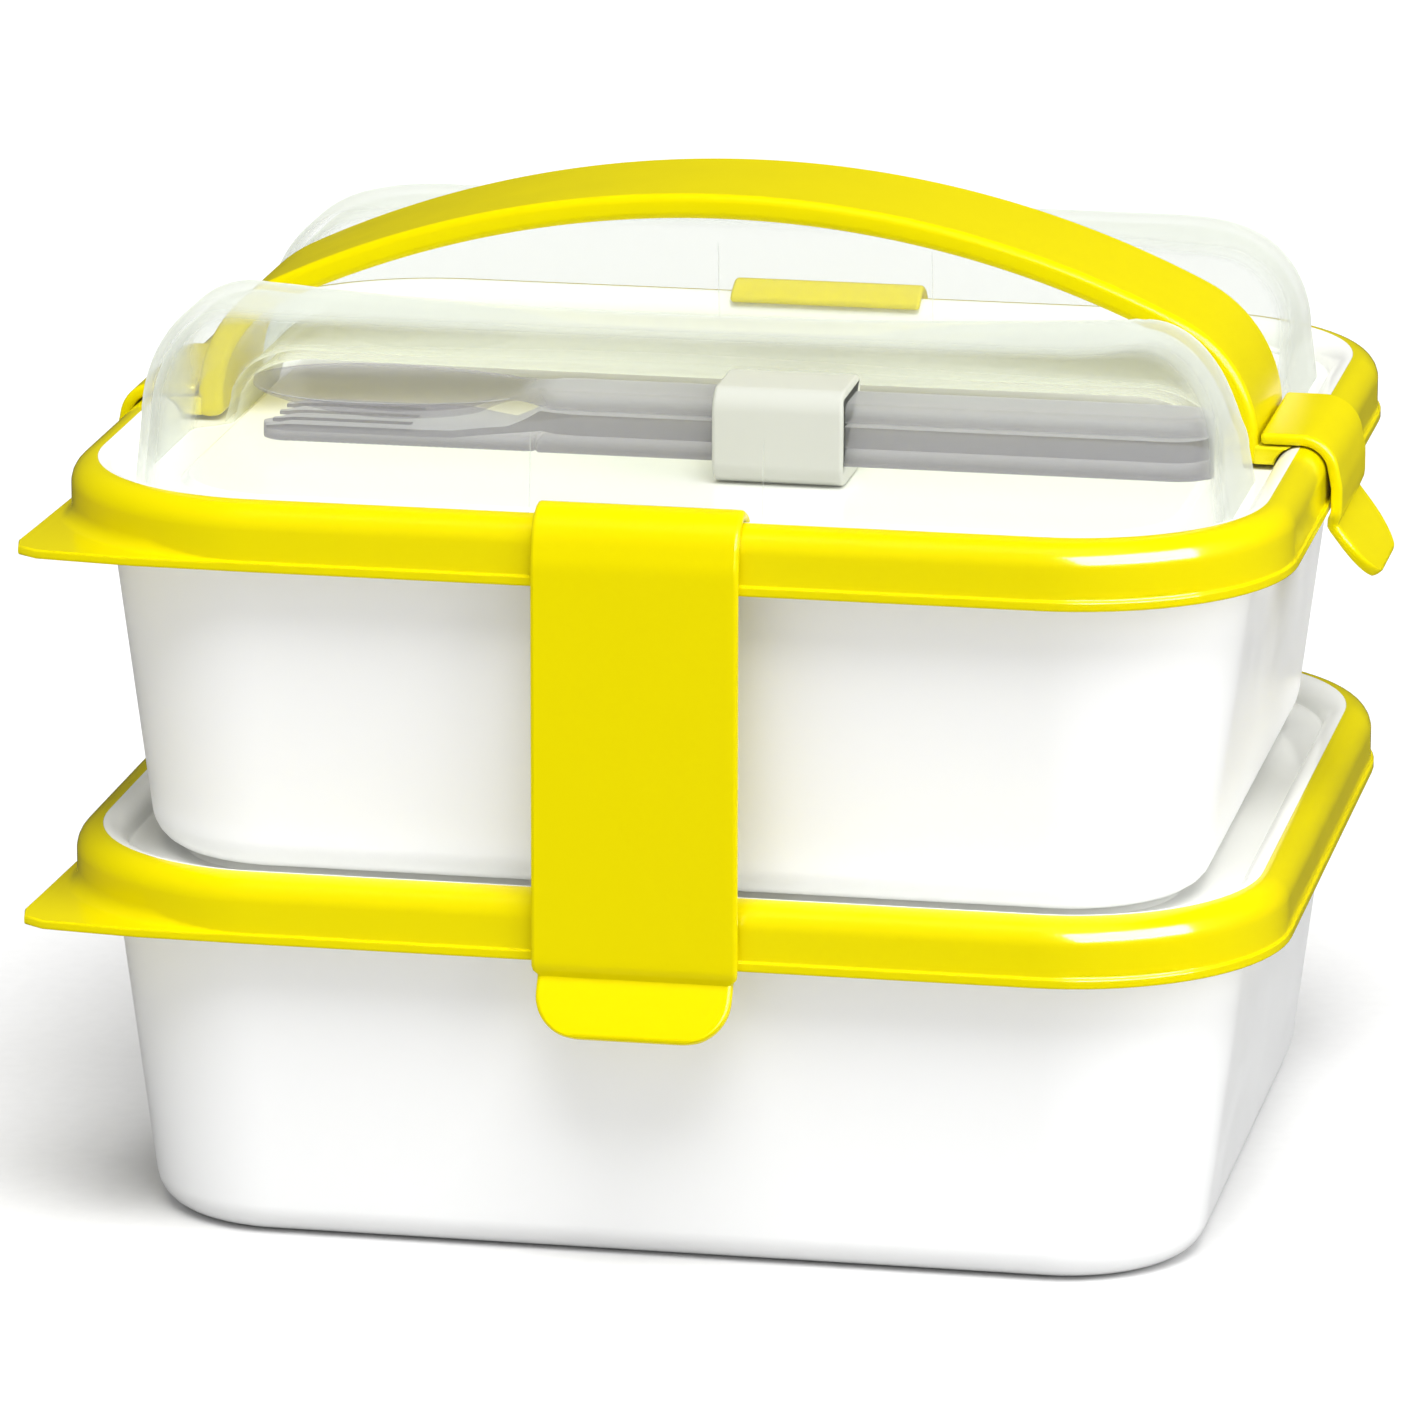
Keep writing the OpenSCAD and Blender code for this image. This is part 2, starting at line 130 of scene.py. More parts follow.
def fillet(corners, closed=True, steps=4):
    """Rounds an outline's corners, given as (x, y, radius). A radius of None keeps a sharp point."""
    count = len(corners)
    points = []
    for i, (x, y, radius) in enumerate(corners):
        here = Vector((x, y))
        if radius is None:
            points.append((x, y))
            continue
        back = Vector(corners[i - 1][:2]) - here
        ahead = Vector(corners[(i + 1) % count][:2]) - here
        half = max(back.angle(ahead) / 2, 0.01)
        reach = min(radius / math.tan(half), 0.49 * back.length, 0.49 * ahead.length)
        start = here + back.normalized() * reach
        end = here + ahead.normalized() * reach
        weight = math.sin(half)
        for k in range(steps + 1):
            t = k / steps
            a, b, c = (1 - t) ** 2, 2 * weight * t * (1 - t), t * t
            points.append(tuple((start * a + here * b + end * c) / (a + b + c)))
    return points


def plain(points):
    """Points of an arc as outline corners that fillet() leaves alone."""
    return [(x, y, None) for x, y in points]


class Track:
    """A bent line in a plane that can be asked for a place and direction at any distance along it."""

    def __init__(self, points):
        self.points = [Vector(p) for p in points]
        self.reached = [0.0]
        for a, b in zip(self.points, self.points[1:]):
            self.reached.append(self.reached[-1] + (b - a).length)
        self.length = self.reached[-1]

    def at(self, distance):
        d = min(max(distance, 0.0), self.length)
        i = 0
        while i < len(self.reached) - 2 and self.reached[i + 1] < d:
            i += 1
        span = self.reached[i + 1] - self.reached[i]
        t = (d - self.reached[i]) / span if span > 0 else 0
        return self.points[i].lerp(self.points[i + 1], t)

    def direction(self, distance, reach=0.25):
        return (self.at(distance + reach) - self.at(distance - reach)).normalized()


# ---------------------------------------------------------------- meshes

def make_piece(name, vertices, faces, material, node, body, slot, sharp=38):
    """A finished mesh object that stands for one CAD node and rides on its body."""
    mesh = bpy.data.meshes.new(name)
    mesh.from_pydata([tuple(c * MM for c in v) for v in vertices], [], faces)
    work = bmesh.new()
    work.from_mesh(mesh)
    bmesh.ops.remove_doubles(work, verts=work.verts, dist=0.002 * MM)
    bmesh.ops.recalc_face_normals(work, faces=work.faces)
    work.to_mesh(mesh)
    work.free()
    mesh.shade_smooth()
    mesh.set_sharp_from_angle(angle=math.radians(sharp))
    piece = bpy.data.objects.new(name, mesh)
    bpy.context.scene.collection.objects.link(piece)
    piece.data.materials.append(material)
    weighted = piece.modifiers.new("weighted_normals", "WEIGHTED_NORMAL")
    weighted.keep_sharp = True
    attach(piece, body)
    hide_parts(node)
    return piece


def stations(corner_steps=20):
    """Places round the case as (corner centre x, y, outward x, y)."""
    ring = []
    for quarter in range(4):
        side_x = 1 if quarter in (0, 3) else -1
        side_y = 1 if quarter < 2 else -1
        if quarter == 2:
            ring += [(-CX, -CY + EAR_START * (1 - i / 6), -1.0, 0.0) for i in range(6)]
        for step in range(corner_steps + 1):
            angle = math.radians(90 * (quarter + step / corner_steps))
            ring.append((side_x * CX, side_y * CY, math.cos(angle), math.sin(angle)))
    return ring


def sweep(section, closed):
    """Carries section(station) -> [(s, z)] round the case. An open section's ends are capped."""
    ring = stations()
    rows = [section(station) for station in ring]
    count = len(rows[0])
    vertices = [(x + ox * s, y + oy * s, z)
                for (x, y, ox, oy), row in zip(ring, rows) for s, z in row]
    faces = []
    for i in range(len(ring)):
        j = (i + 1) % len(ring)
        for k in range(count if closed else count - 1):
            m = (k + 1) % count
            faces.append((i * count + k, j * count + k, j * count + m, i * count + m))
    if not closed:
        for end in (0, count - 1):
            faces.append([i * count + end for i in range(len(ring))])
    return vertices, faces


def loft(sections):
    """Joins closed loops of 3D points, one after the other, and caps both ends."""
    count = len(sections[0])
    vertices = [p for section in sections for p in section]
    faces = []
    for i in range(len(sections) - 1):
        for k in range(count):
            m = (k + 1) % count
            a, b = i * count, (i + 1) * count
            faces.append((a + k, b + k, b + m, a + m))
    faces.append(list(range(count)))
    faces.append([(len(sections) - 1) * count + k for k in range(count)])
    return vertices, faces


def rounded_box_loop(half_w, half_t, edge, steps=4):
    """Cross-section of a strap: a rectangle with rounded edges, as (across, through) points."""
    r = min(edge, half_w * 0.98, half_t * 0.98)
    points = []
    for i, (sx, sy) in enumerate(((1, 1), (-1, 1), (-1, -1), (1, -1))):
        points += arc(sx * (half_w - r), sy * (half_t - r), r, 90 * i, 90 * (i + 1), steps)
    return points


def ribbon(points, half_width, thickness, edge, place, tab_r=0.0, spacing=0.8):
    """A moulded strap along a bent line. half_width(distance, length) gives its half width, and tab_r
    rounds its far end. place((u, w), across) puts a point of the line's plane in the CAD frame."""
    track = Track(points)
    total = track.length
    ease = [edge * (1 - math.cos(math.radians(15 * k))) for k in range(7)]
    turns = [tab_r * (1 - math.cos(math.radians(6 * k))) for k in range(16)] if tab_r else []
    steps = max(int(total / spacing), 2)
    cuts = sorted(ease + [total - e for e in ease] + [total - t for t in turns]
                  + [total * i / steps for i in range(steps + 1)])
    kept = [cuts[0]]
    for cut in cuts[1:]:
        if cut - kept[-1] > 0.02:
            kept.append(cut)
    sections = []
    for cut in kept:
        nearest = min(cut, total - cut)
        shrink = edge - math.sqrt(max(edge ** 2 - max(edge - nearest, 0) ** 2, 0))
        half_w = half_width(cut, total)
        left = total - cut
        if tab_r and left < tab_r:
            half_w += -tab_r + math.sqrt(max(tab_r ** 2 - (tab_r - left) ** 2, 0))
        middle = track.at(cut)
        along = track.direction(cut)
        normal = Vector((-along.y, along.x))
        half_t = (thickness(cut) if callable(thickness) else thickness) / 2
        loop = rounded_box_loop(half_w - shrink, half_t - shrink * 0.9, edge)
        sections.append([place(middle + normal * through, across) for across, through in loop])
    return loft(sections)


# ---------------------------------------------------------------- materials

class Look:
    """A material's node tree with short calls for the nodes that the looks share."""

    def __init__(self, name):
        self.material = bpy.data.materials.new(name)
        self.material.use_nodes = True
        self.tree = self.material.node_tree
        self.tree.nodes.clear()
        self.output = self.node("ShaderNodeOutputMaterial")
        self.place = self.node("ShaderNodeTexCoord").outputs["Object"]

    def node(self, kind, **inputs):
        """A new node with some of its inputs set."""
        made = self.tree.nodes.new(kind)
        for key, value in inputs.items():
            made.inputs[key.replace("_", " ")].default_value = value
        return made

    def join(self, source, target):
        """Links an output to an input."""
        self.tree.links.new(source, target)

    def noise(self, scale, detail=3.0, stretch=(1, 1, 1)):
        """Cloudy pattern, scale in features a metre."""
        mapping = self.node("ShaderNodeMapping", Scale=stretch)
        self.join(self.place, mapping.inputs["Vector"])
        pattern = self.node("ShaderNodeTexNoise", Scale=scale, Detail=detail)
        self.join(mapping.outputs["Vector"], pattern.inputs["Vector"])
        return pattern.outputs["Fac"]

    def ramp(self, source, low, high, start=0.3, end=0.7):
        """Maps a pattern from start..end to low..high."""
        made = self.node("ShaderNodeMapRange")
        for key, value in (("From Min", start), ("From Max", end), ("To Min", low), ("To Max", high)):
            made.inputs[key].default_value = value
        self.join(source, made.inputs["Value"])
        return made.outputs["Result"]

    def mix(self, factor, first, second):
        """Blends two colours or colour outputs."""
        made = self.tree.nodes.new("ShaderNodeMix")
        made.data_type = "RGBA"
        self.join(factor, made.inputs[0])
        for value, socket in ((first, made.inputs[6]), (second, made.inputs[7])):
            if isinstance(value, tuple):
                socket.default_value = (*value, 1)
            else:
                self.join(value, socket)
        return made.outputs[2]

    def maths(self, operation, first, second):
        """Joins two values, each an output or a number."""
        made = self.tree.nodes.new("ShaderNodeMath")
        made.operation = operation
        for value, socket in ((first, made.inputs[0]), (second, made.inputs[1])):
            if isinstance(value, float):
                socket.default_value = value
            else:
                self.join(value, socket)
        return made.outputs[0]

    def edges(self, low, high):
        """Mask of worn convex edges."""
        geometry = self.tree.nodes.new("ShaderNodeNewGeometry")
        return self.ramp(geometry.outputs["Pointiness"], 0, 1, low, high)

    def bump(self, height, strength, distance):
        """Normal of a surface raised by a pattern."""
        made = self.node("ShaderNodeBump", Strength=strength, Distance=distance)
        self.join(height, made.inputs["Height"])
        return made.outputs["Normal"]


def plastic(name, colour, shade, roughness, grain=0.12, translucent=0.0, worn=None, gloss=0.5,
            gloss_tint=(1, 1, 1), coat=0.0):
    """Moulded plastic: faint flow marks in its colour, uneven gloss, fine grain and rubbed edges."""
    look = Look(name)
    body = look.node("ShaderNodeBsdfPrincipled")
    body.inputs["IOR"].default_value = 1.47
    body.inputs["Specular IOR Level"].default_value = gloss
    body.inputs["Specular Tint"].default_value = (*gloss_tint, 1)
    body.inputs["Coat Weight"].default_value = coat
    body.inputs["Coat Roughness"].default_value = 0.12
    flow = look.noise(38, 2.0, (1, 1, 0.35))
    tint = look.mix(look.ramp(flow, 0, 1), colour, shade)
    if worn:
        tint = look.mix(look.edges(0.53, 0.62), tint, worn)
    look.join(tint, body.inputs["Base Color"])
    smear = look.noise(90, 4.0)
    look.join(look.ramp(smear, roughness * 0.9, roughness * 1.12), body.inputs["Roughness"])
    look.join(look.bump(look.noise(1500, 1.0), grain, 0.00001), body.inputs["Normal"])
    if translucent:
        body.subsurface_method = "RANDOM_WALK"
        body.inputs["Subsurface Weight"].default_value = translucent
        body.inputs["Subsurface Radius"].default_value = (0.004, 0.004, 0.0034)
        body.inputs["Subsurface Scale"].default_value = 1.0
    look.join(body.outputs["BSDF"], look.output.inputs["Surface"])
    return look.material


def clear_plastic(name, tint, haze_colour, haze, edge_haze, roughness, lit_top=None, thin_to=None):
    """Clear moulded plastic, milkier where it is seen edge on. Its walls are thin, so light passes
    straight through it and only its surface shines."""
    look = Look(name)
    clear = look.node("ShaderNodeBsdfTransparent", Color=(*tint, 1))
    shine = look.node("ShaderNodeBsdfGlossy")
    look.join(look.ramp(look.noise(120, 3.0), roughness * 0.6, roughness * 1.6),
              shine.inputs["Roughness"])
    look.join(look.bump(look.noise(24, 2.0), 0.18, 0.0012), shine.inputs["Normal"])
    facing = look.node("ShaderNodeLayerWeight", Blend=0.5)
    body = look.tree.nodes.new("ShaderNodeMixShader")
    mirror = look.ramp(facing.outputs["Facing"], 0.01, 0.3, 0.5, 1.0)
    look.join(clear.outputs[0], body.inputs[1])
    look.join(shine.outputs[0], body.inputs[2])
    milky = look.node("ShaderNodeBsdfTranslucent", Color=(*haze_colour, 1))
    white = look.node("ShaderNodeBsdfDiffuse", Color=(*haze_colour, 1))
    # Painted light and shade: the haze gets the lighter lit_top colour on faces turned up and its own
    # darker colour on faces turned down.
    if lit_top:
        facing_up = look.node("ShaderNodeSeparateXYZ")
        geometry = look.tree.nodes.new("ShaderNodeNewGeometry")
        look.join(geometry.outputs["Normal"], facing_up.inputs[0])
        painted_light_and_shade = look.mix(look.ramp(facing_up.outputs["Z"], 0, 1, -0.2, 0.9), haze_colour, lit_top)
        look.join(painted_light_and_shade, milky.inputs["Color"])
        look.join(painted_light_and_shade, white.inputs["Color"])
    cloud = look.node("ShaderNodeMixShader", Fac=0.5)
    look.join(white.outputs[0], cloud.inputs[1])
    look.join(milky.outputs[0], cloud.inputs[2])
    hazy = look.tree.nodes.new("ShaderNodeMixShader")
    edge_on = look.ramp(facing.outputs["Facing"], haze, edge_haze, 0.55, 0.95)
    if thin_to is not None:
        along = look.node("ShaderNodeSeparateXYZ")
        look.join(look.place, along.inputs[0])
        thick = look.ramp(along.outputs["X"], 0.12, 1.0, (thin_to - 4) * MM, (thin_to + 3) * MM)
        mirror = look.maths("MULTIPLY", mirror, thick)
        edge_on = look.maths("MULTIPLY", edge_on, thick)
        edge_on = look.maths("MAXIMUM", edge_on, look.maths("MULTIPLY", look.edges(0.53, 0.6), edge_haze))
    look.join(mirror, body.inputs["Fac"])
    look.join(edge_on, hazy.inputs["Fac"])
    look.join(body.outputs[0], hazy.inputs[1])
    look.join(cloud.outputs[0], hazy.inputs[2])
    paths = look.tree.nodes.new("ShaderNodeLightPath")
    passing = look.maths("MAXIMUM", paths.outputs["Is Shadow Ray"], paths.outputs["Is Diffuse Ray"])
    through = look.node("ShaderNodeBsdfTransparent", Color=(0.995, 1, 0.995, 1))
    final = look.tree.nodes.new("ShaderNodeMixShader")
    look.join(passing, final.inputs["Fac"])
    look.join(hazy.outputs[0], final.inputs[1])
    look.join(through.outputs[0], final.inputs[2])
    look.join(final.outputs[0], look.output.inputs["Surface"])
    return look.material


def floor_paper(name):
    """Pale backdrop paper that throws less light back up than it shows."""
    look = Look(name)
    body = look.node("ShaderNodeBsdfPrincipled", Roughness=0.9)
    fibre = look.noise(300, 4.0)
    paths = look.tree.nodes.new("ShaderNodeLightPath")
    paper = look.mix(look.ramp(fibre, 0, 1), (0.83, 0.83, 0.83), (0.81, 0.81, 0.81))
    look.join(look.mix(paths.outputs["Is Diffuse Ray"], paper, (0.62, 0.62, 0.62)),
              body.inputs["Base Color"])
    look.join(look.bump(fibre, 0.05, 0.0002), body.inputs["Normal"])
    look.join(body.outputs[0], look.output.inputs["Surface"])
    return look.material


YELLOW_GLOSS = (1.0, 0.92, 0.12)
RIM_YELLOW = plastic("rim_yellow", (0.71, 0.605, 0.0), (0.7, 0.595, 0.0), 0.17, grain=0.08,
                     worn=(0.75, 0.65, 0.01), gloss=0.2, gloss_tint=YELLOW_GLOSS, coat=0.3)
STRAP_YELLOW = plastic("handle_yellow", (0.71, 0.605, 0.0), (0.7, 0.595, 0.0), 0.23, grain=0.14,
                       worn=(0.76, 0.67, 0.02), gloss=0.12, gloss_tint=YELLOW_GLOSS, coat=0.08)
BOX_WHITE = plastic("box_white", (0.94, 0.945, 0.945), (0.935, 0.94, 0.938), 0.33, grain=0.1)
PANEL_WHITE = plastic("panel_white", (0.95, 0.955, 0.92), (0.94, 0.945, 0.905), 0.18, grain=0.08)
SEAL = plastic("seal_silicone", (0.8, 0.82, 0.8), (0.75, 0.78, 0.76), 0.55, grain=0.3, translucent=0.3)
SLEEVE_WHITE = plastic("sleeve_white", (0.62, 0.62, 0.57), (0.6, 0.6, 0.55), 0.42, grain=0.3)
CLEAR = clear_plastic("clear_cover", (0.955, 0.96, 0.952), (0.76, 0.79, 0.74), 0.05, 0.85, 0.03)
# The smoked plastics carry painted light and shade: their haze is painted lighter on faces turned up and
# darker on faces turned down.
SMOKE = clear_plastic("smoked_plastic", (0.6, 0.585, 0.635), (0.33, 0.32, 0.35), 0.42, 0.85, 0.1,
                      lit_top=(0.53, 0.52, 0.55))
SPOON_SMOKE = clear_plastic("spoon_plastic", (0.86, 0.85, 0.88), (0.33, 0.32, 0.35), 0.5, 0.9, 0.1,
                            lit_top=(0.53, 0.52, 0.55), thin_to=NECK_X)


# ---------------------------------------------------------------- boxes and lids

def food_box(name, node, body, base):
    """A tapered box: foot ring, rolled floor edge, leaning wall, flange and upright rim."""
    wall = 1.6
    foot = 25
    reach = 2.4
    lean = (BEAD_S - reach - foot) / LID_LOW.z
    flange = BEAD_Z - 5.5
    shelf = flange + wall
    rim = BOX_HIGH_Z
    out = foot + lean * flange
    corners = [
        (2, 0.6, None), (12, 0.6, 0.5), (13, 0, 0.5), (foot, 0, 9),
        (out, flange, 0.4), (BEAD_S + reach, flange, 0.5), (BEAD_S + reach, shelf, 0.5),
        (BEAD_S + 0.8, shelf, 0.3), (BEAD_S + 0.8, rim, 0.5), (BEAD_S - 0.8, rim, 0.5),
        (BEAD_S - 0.8, shelf, 0.3), (out - wall + 0.2, shelf, 0.5), (foot - wall, wall, 7.4),
        (2, wall, None)]
    section = [(s, base + z) for s, z in fillet(corners, steps=6)]
    made = sweep(lambda station: section, closed=False)
    return make_piece(name, *made, BOX_WHITE, node, body, "box_white")


EAR_TIP_R = 6.0
EAR_SET_BACK = 2.2
EAR_TIP = (LID_LOW.x + EAR_TIP_R, LID_LOW.y + EAR_SET_BACK + EAR_TIP_R)


def ear_outline():
    """The pull ear seen from above: the case's side and front run on to a rounded corner."""
    side, front = -LID_HIGH.x, LID_LOW.y
    tip_x, tip_y = EAR_TIP
    start = -CY + EAR_START
    bow = (side - LID_LOW.x) / 2
    left = [Vector((side - bow * smooth(i / 8), start - EAR_START * i / 8)) for i in range(9)]
    tip = [Vector(p) for p in arc(tip_x, tip_y, EAR_TIP_R, 182, 264, 16)]
    ahead = [Vector((-CX - 20, front + 0.4)), Vector((-CX + 1, front))]
    return left + tip + ahead


EAR = ear_outline()


def ear_reach(station):
    """How far the pull ear stands out past the lip along one of the corner's outward directions."""
    origin = Vector(station[:2])
    out = Vector(station[2:])
    best = CORNER_R
    for a, b in zip(EAR, EAR[1:]):
        step = b - a
        cross = out.x * step.y - out.y * step.x
        if abs(cross) < 1e-9:
            continue
        t = (out.x * (origin.y - a.y) - out.y * (origin.x - a.x)) / cross
        if -1e-6 <= t <= 1 + 1e-6:
            best = max(best, (a + step * t - origin).dot(out))
    return best - CORNER_R


def lid_frame(name, node, body, base):
    """The yellow outer half of a rim with its lip and the pull ear at the front left corner."""
    middle = base + BEAD_Z

    def section(station):
        reach = ear_reach(station) if station[0] < 0 and station[1] < 0 else 0.0
        soften = min(1.2 + reach * 0.45, 2.6)
        corners = (
            plain(arc(0, 0, BEAD_R, JOINT_ANGLE, 0, 16))
            + [(BEAD_R, -5.5, soften),
               (LIP_OUT + reach, -5.5 - min(reach * 0.02, 0.1), 0.5),
               (LIP_OUT + reach, -SKIRT, 0.5), (3.4, -SKIRT, 0.3), (BORE_R, -6.6, 0.3)]
            + plain(arc(0, 0, BORE_R, 0, JOINT_ANGLE, 12)))
        return [(BEAD_S + u, middle + w) for u, w in fillet(corners)]

    return make_piece(name, *sweep(section, closed=True), RIM_YELLOW, node, body, "rim_yellow")


def lid_panel(name, node, body, base):
    """The white middle of a lid: inner half of the bead, trough, and the plateau in the middle."""
    middle = base + BEAD_Z
    seam = JOINT_ANGLE + 0.6
    wall = BEAD_R - BORE_R
    under = TROUGH_UP - wall
    corners = (
        [(2, PLATEAU_UP - wall, None), (PLATEAU_S, PLATEAU_UP - wall, 0.5), (PLATEAU_S + 1, under, 0.5),
         (BEAD_S - BEAD_R, under, 0.3), (BEAD_S - BEAD_R, -3, 0.3), (BEAD_S - BORE_R, -3, 0.3)]
        + plain([(BEAD_S + u, w) for u, w in arc(0, 0, BORE_R, 180, seam, 12)])
        + plain([(BEAD_S + u, w) for u, w in arc(0, 0, BEAD_R, seam, 172, 14)])
        + [(BEAD_S - BEAD_R - 0.1, TROUGH_UP, 0.8), (PLATEAU_S + 1.2, TROUGH_UP, 0.5),
           (PLATEAU_S, PLATEAU_UP, 0.5), (2, PLATEAU_UP, None)])
    section = [(s, middle + w) for s, w in fillet(corners)]
    made = sweep(lambda station: section, closed=False)
    return make_piece(name, *made, PANEL_WHITE, node, body, "panel_white")


# ---------------------------------------------------------------- clear cover

# The wall's foot, its draft, the rounding above it and the skin's thickness.
COVER_S = 28
COVER_DRAFT = 1.2
COVER_ROUND = 16
COVER_WALL = 1.6

# Share of the height that the walls take, on the long sides and on the ends.
WALL_PART = 0.5
END_WALL_PART = 0.33
REAR_DROP = 5

# The end walls' notches for the handle's legs, and the valley between the ridges.
NOTCH_HALF = 18
NOTCH_DEPTH = 6.2
NOTCH_BLEND = 6
VALLEY_DEPTH = 18
VALLEY_HALF = 18
SCOOP = 14
COVER_H = COVER_HIGH.z - COVER_LOW.z

RIB_X = (CLIP_HIGH.x - CLIP_LOW.x) / 2 + 2.3


def cover_outline():
    """Stations round the cover, closer together where ribs and notches are."""
    corner_steps, plain_steps = 22, 30
    ribs = [side * RIB_X + off for side in (-1, 1) for off in (-1.0, -0.7, -0.45, 0, 0.45, 0.7, 1.0)]
    long_side = sorted([CX * (2 * i / plain_steps - 1) for i in range(1, plain_steps)] + ribs)
    short_side = [CY * (2 * i / 44 - 1) for i in range(1, 44)]
    ring = []
    for quarter in range(4):
        side_x = 1 if quarter in (0, 3) else -1
        side_y = 1 if quarter < 2 else -1
        for step in range(corner_steps + 1):
            angle = math.radians(90 * (quarter + step / corner_steps))
            ring.append((side_x * CX, side_y * CY, math.cos(angle), math.sin(angle)))
        if quarter % 2 == 0:
            run = [(x, side_y * CY, 0.0, float(side_y)) for x in long_side]
            ring += run[::-1] if quarter == 0 else run
        else:
            run = [(side_x * CX, y, float(side_x), 0.0) for y in short_side]
            ring += run[::-1] if quarter == 1 else run
    return ring


def notch(point):
    """How far the end walls step in beside the handle's legs."""
    if abs(point[2]) < 0.999:
        return 0.0
    return NOTCH_DEPTH * (1 - smooth((abs(point[1]) - NOTCH_HALF) / NOTCH_BLEND))


def rib(point, share):
    """Locating ribs on the walls, one on each side of each clip."""
    if abs(point[3]) < 0.999:
        return 0.0
    near = abs(abs(point[0]) - RIB_X)
    return 0.9 * (1 - smooth((near - 0.35) / 0.6)) * (1 - smooth((share - 0.5) / 0.2))


def ridge_edge(x):
    """Where the ridge's top ends and the valley begins; the scoop in the middle is for fingers."""
    return CY + 1 - SCOOP * min(abs(x) / 80, 1) ** 2


def cover_top(x, y):
    """Height of the cover's top above its foot. The rear ridge is the lower one."""
    ridge = VALLEY_DEPTH - (REAR_DROP if y > 0 else 0)
    rise = smooth((abs(y) - VALLEY_HALF) / (ridge_edge(x) - VALLEY_HALF))
    return COVER_H - VALLEY_DEPTH + ridge * rise


def cover_point(point, ring, inset):
    """A point of one of the cover's skins, on one ring above a point of its outline."""
    s, wall_share, round_share, shrink = ring
    wall = WALL_PART + (END_WALL_PART - WALL_PART) * abs(point[2])
    share = wall * wall_share + (1 - wall) * round_share
    out = s - inset - notch(point) * shrink
    if inset == 0:
        out += rib(point, share)
    x = (point[0] + point[2] * out) * shrink
    y = (point[1] + point[3] * out) * shrink
    return (x, y, COVER_LOW.z + share * (cover_top(x, y) - inset))


def dome_cover():
    """Both skins of the clear cover, joined along the foot."""
    wall_rings, round_rings, top_rings = 8, 16, 40
    rings = [(COVER_S - COVER_DRAFT * i / wall_rings, i / wall_rings, 0.0, 1.0)
             for i in range(wall_rings + 1)]
    for i in range(1, round_rings + 1):
        a = math.radians(90 * i / round_rings)
        rings.append((COVER_S - COVER_DRAFT - COVER_ROUND * (1 - math.cos(a)), 1.0, math.sin(a), 1.0))
    inner_s = COVER_S - COVER_DRAFT - COVER_ROUND
    rings += [(inner_s, 1.0, 1.0, 1 - i / top_rings) for i in range(1, top_rings)]
    outline = cover_outline()
    count = len(outline)
    vertices, faces = [], []
    for inset in (0.0, COVER_WALL):
        for ring in rings:
            vertices += [cover_point(p, ring, inset) for p in outline]
    shell = count * len(rings)
    for skin in (0, shell):
        for k in range(len(rings) - 1):
            for j in range(count):
                a, b = skin + k * count + j, skin + k * count + (j + 1) % count
                faces.append((a, b, b + count, a + count))
    faces += [(j, (j + 1) % count, shell + (j + 1) % count, shell + j) for j in range(count)]
    for skin, drop in ((0, 0.0), (shell, COVER_WALL)):
        tip = len(vertices)
        vertices.append((0, 0, COVER_HIGH.z - VALLEY_DEPTH - drop))
        last = skin + (len(rings) - 1) * count
        faces += [(last + j, last + (j + 1) % count, tip) for j in range(count)]
    return make_piece("dome_cover_looks", vertices, faces, CLEAR, "dome_cover", "dome", "clear_cover")


# ---------------------------------------------------------------- straps

STRAP_T = 2.1
CLIP_GAP = 0.35
CLIP_W = CLIP_HIGH.x - CLIP_LOW.x
LATCH_W = LATCH_HIGH.y - LATCH_LOW.y
HOOK_R = BEAD_R + CLIP_GAP
HOOK_MID = HOOK_R + STRAP_T / 2
STRAP_MID = LIP_OUT + CLIP_GAP + STRAP_T / 2

# The handle's legs stand this far inside the rim.
LEG_GAP = 3
LEG_OUT = CX + BEAD_S - BEAD_R - LEG_GAP


def stacking_clip(name, node, body, side):
    """A strap hooked over the upper bead that snaps under the lower lip, with a finger tab."""
    catch = -TIER - SKIRT
    hook_end = 143

    def hook_t(angle):
        return STRAP_T - 0.7 * smooth((angle - 85) / 25)

    hook = []
    for i in range(35):
        angle = hook_end + (6 - hook_end) * i / 34
        r = HOOK_R + hook_t(angle) / 2
        hook.append((r * math.cos(math.radians(angle)), r * math.sin(math.radians(angle))))
    corners = (
        plain(hook)
        + [(STRAP_MID, -2.5, 2.0), (STRAP_MID, catch - 0.2, 1.4), (LIP_OUT + 0.1, catch - 2.2, 1.25),
           (LIP_OUT + 1.5, catch - 4.2, 2.0), (LIP_OUT + 5.9, catch - 12.0, None)])
    crease = HOOK_MID * math.radians(hook_end - 6) - catch + 1.0

    def half_width(cut, total):
        return CLIP_W / 2 - 0.9 * smooth((cut - crease) / 1.6)

    def thickness(cut):
        return hook_t(hook_end - math.degrees(cut / HOOK_MID))

    def place(point, across):
        return (across, side * (CY + BEAD_S + point.x), TOP_BEAD_Z + point.y)

    made = ribbon(fillet(corners, steps=6), half_width, thickness, 0.85, place, tab_r=8)
    return make_piece(name, *made, STRAP_YELLOW, node, body, "handle_yellow")


